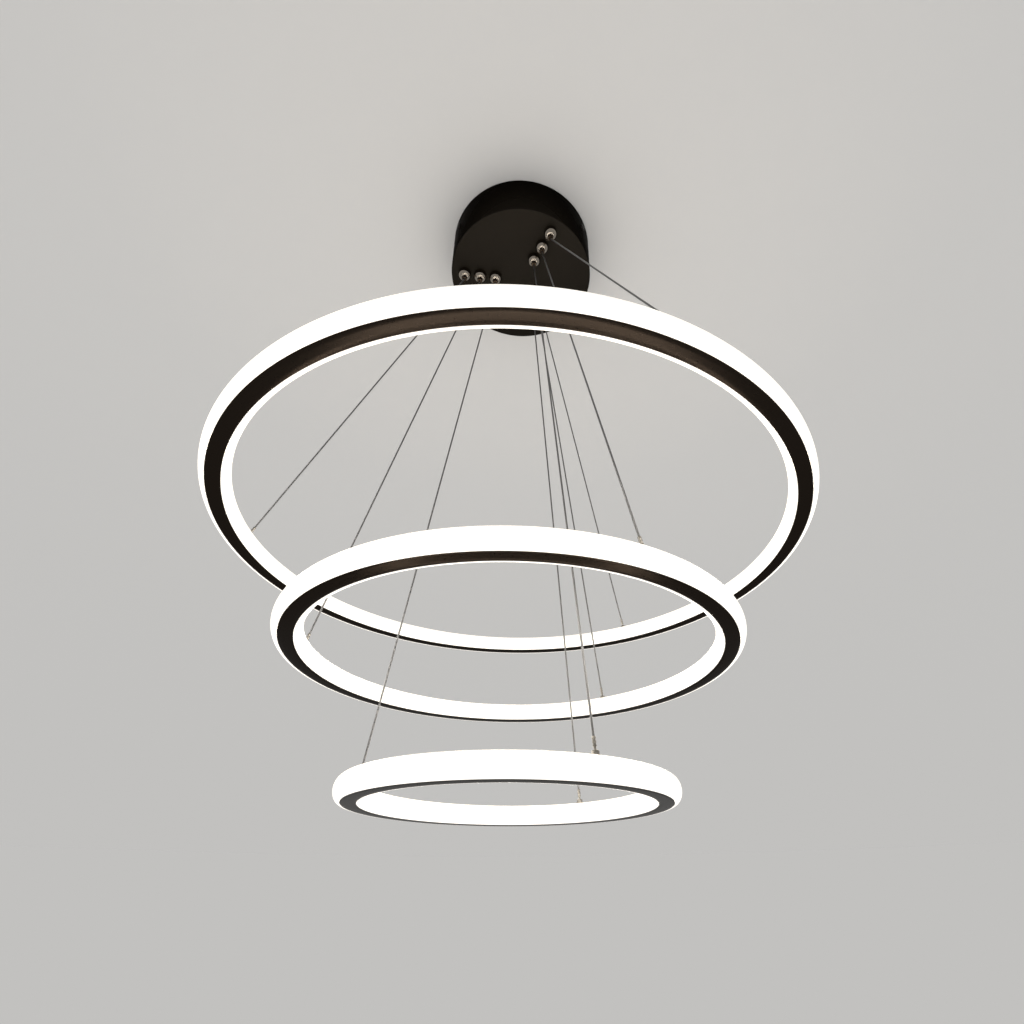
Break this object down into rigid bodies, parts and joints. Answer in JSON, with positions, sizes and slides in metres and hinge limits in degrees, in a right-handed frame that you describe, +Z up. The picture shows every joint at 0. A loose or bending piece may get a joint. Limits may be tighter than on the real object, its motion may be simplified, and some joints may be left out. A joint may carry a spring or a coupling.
{
  "type": "led ring chandelier",
  "caption": "Pendant ceiling light: level glowing rings of falling size under a black round canopy, each hung on thin steel wires from cable grips.",
  "frame": {"origin": "middle of the canopy's ceiling face, where the mounting plate meets the ceiling", "axes": "+Z up into the ceiling, the rings hang along -Z; each ring's left ball stud lies on -X"},
  "size_m": [0.4005, 0.4006, 0.5163],
  "materials": {
    "galvanised_steel": "galvanised sheet, satin",
    "black_powder_coat": "satin black powder coat",
    "black_screw": "blackened steel",
    "driver_plastic": "moulded polycarbonate",
    "circuit_board": "solder mask",
    "zinc_screw": "zinc plated",
    "brass_screw": "turned brass",
    "terminal_nylon": "natural nylon",
    "lead_insulation": "soft insulation",
    "polished_chrome": "polished",
    "nickelled_brass": "nickel plated",
    "steel_wire": "twisted strands",
    "black_aluminium": "satin black anodised",
    "milky_diffuser": "milky, lit from inside",
    "led_tape": "white tape with a phosphor line",
    "spring_steel": "bright"
  },
  "bodies": {
    "canopy": {"mounting_plate": "galvanised_steel", "canopy_cover": "black_powder_coat", "cover_screws": "black_screw", "driver_lid": "driver_plastic", "driver_case": "driver_plastic", "driver_board": "circuit_board", "driver_screws": "zinc_screw", "terminal_block": "terminal_nylon", "terminal_screws": "zinc_screw", "earth_screw": "brass_screw", "mains_leads": "lead_insulation", "output_leads": "lead_insulation", "grip_housings": "polished_chrome", "grip_locknuts": "nickelled_brass", "grip_caps": "nickelled_brass", "wire_tails": "steel_wire", "large_ring_wires": "steel_wire", "large_ring_ball_ferrules": "nickelled_brass", "middle_ring_wires": "steel_wire", "middle_ring_ball_ferrules": "nickelled_brass", "small_ring_wires": "steel_wire", "small_ring_ball_ferrules": "nickelled_brass", "return_spring_large_front": "spring_steel", "return_spring_large_back": "spring_steel", "return_spring_large_left": "spring_steel", "return_spring_middle_front": "spring_steel", "return_spring_middle_back": "spring_steel", "return_spring_middle_left": "spring_steel", "return_spring_small_front": "spring_steel", "return_spring_small_back": "spring_steel", "return_spring_small_left": "spring_steel"},
    "large_ring": {"large_ring_frame": "black_aluminium", "large_ring_outer_diffuser": "milky_diffuser", "large_ring_inner_diffuser": "milky_diffuser", "large_ring_outer_led_strip": "led_tape", "large_ring_inner_led_strip": "led_tape", "large_ring_ball_studs": "nickelled_brass"},
    "middle_ring": {"middle_ring_frame": "black_aluminium", "middle_ring_outer_diffuser": "milky_diffuser", "middle_ring_inner_diffuser": "milky_diffuser", "middle_ring_outer_led_strip": "led_tape", "middle_ring_inner_led_strip": "led_tape", "middle_ring_ball_studs": "nickelled_brass"},
    "small_ring": {"small_ring_frame": "black_aluminium", "small_ring_outer_diffuser": "milky_diffuser", "small_ring_inner_diffuser": "milky_diffuser", "small_ring_outer_led_strip": "led_tape", "small_ring_inner_led_strip": "led_tape", "small_ring_ball_studs": "nickelled_brass"},
    "plunger_large_front": {"release_plunger_large_front": "polished_chrome"},
    "plunger_large_back": {"release_plunger_large_back": "polished_chrome"},
    "plunger_large_left": {"release_plunger_large_left": "polished_chrome"},
    "plunger_middle_front": {"release_plunger_middle_front": "polished_chrome"},
    "plunger_middle_back": {"release_plunger_middle_back": "polished_chrome"},
    "plunger_middle_left": {"release_plunger_middle_left": "polished_chrome"},
    "plunger_small_front": {"release_plunger_small_front": "polished_chrome"},
    "plunger_small_back": {"release_plunger_small_back": "polished_chrome"},
    "plunger_small_left": {"release_plunger_small_left": "polished_chrome"}
  },
  "joints": [
    {"name": "large_ring_height", "type": "slide", "parent": "canopy", "child": "large_ring", "axis": [0, 0, 1], "range_m": [0, 0.15], "deforming": ["large_ring_wires", "large_ring_ball_ferrules"]},
    {"name": "middle_ring_height", "type": "slide", "parent": "canopy", "child": "middle_ring", "axis": [0, 0, 1], "range_m": [0, 0.12], "deforming": ["middle_ring_wires", "middle_ring_ball_ferrules"]},
    {"name": "small_ring_height", "type": "slide", "parent": "canopy", "child": "small_ring", "axis": [0, 0, 1], "range_m": [0, 0.16], "deforming": ["small_ring_wires", "small_ring_ball_ferrules"]},
    {"name": "release_large_front", "type": "slide", "parent": "canopy", "child": "plunger_large_front", "axis": [0, 0, 1], "range_m": [0, 0.0015], "stiffness_N_per_m": 300, "springref_m": -0.002, "deforming": ["return_spring_large_front"]},
    {"name": "release_large_back", "type": "slide", "parent": "canopy", "child": "plunger_large_back", "axis": [0, 0, 1], "range_m": [0, 0.0015], "stiffness_N_per_m": 300, "springref_m": -0.002, "deforming": ["return_spring_large_back"]},
    {"name": "release_large_left", "type": "slide", "parent": "canopy", "child": "plunger_large_left", "axis": [0, 0, 1], "range_m": [0, 0.0015], "stiffness_N_per_m": 300, "springref_m": -0.002, "deforming": ["return_spring_large_left"]},
    {"name": "release_middle_front", "type": "slide", "parent": "canopy", "child": "plunger_middle_front", "axis": [0, 0, 1], "range_m": [0, 0.0015], "stiffness_N_per_m": 300, "springref_m": -0.002, "deforming": ["return_spring_middle_front"]},
    {"name": "release_middle_back", "type": "slide", "parent": "canopy", "child": "plunger_middle_back", "axis": [0, 0, 1], "range_m": [0, 0.0015], "stiffness_N_per_m": 300, "springref_m": -0.002, "deforming": ["return_spring_middle_back"]},
    {"name": "release_middle_left", "type": "slide", "parent": "canopy", "child": "plunger_middle_left", "axis": [0, 0, 1], "range_m": [0, 0.0015], "stiffness_N_per_m": 300, "springref_m": -0.002, "deforming": ["return_spring_middle_left"]},
    {"name": "release_small_front", "type": "slide", "parent": "canopy", "child": "plunger_small_front", "axis": [0, 0, 1], "range_m": [0, 0.0015], "stiffness_N_per_m": 300, "springref_m": -0.002, "deforming": ["return_spring_small_front"]},
    {"name": "release_small_back", "type": "slide", "parent": "canopy", "child": "plunger_small_back", "axis": [0, 0, 1], "range_m": [0, 0.0015], "stiffness_N_per_m": 300, "springref_m": -0.002, "deforming": ["return_spring_small_back"]},
    {"name": "release_small_left", "type": "slide", "parent": "canopy", "child": "plunger_small_left", "axis": [0, 0, 1], "range_m": [0, 0.0015], "stiffness_N_per_m": 300, "springref_m": -0.002, "deforming": ["return_spring_small_left"]}
  ]
}
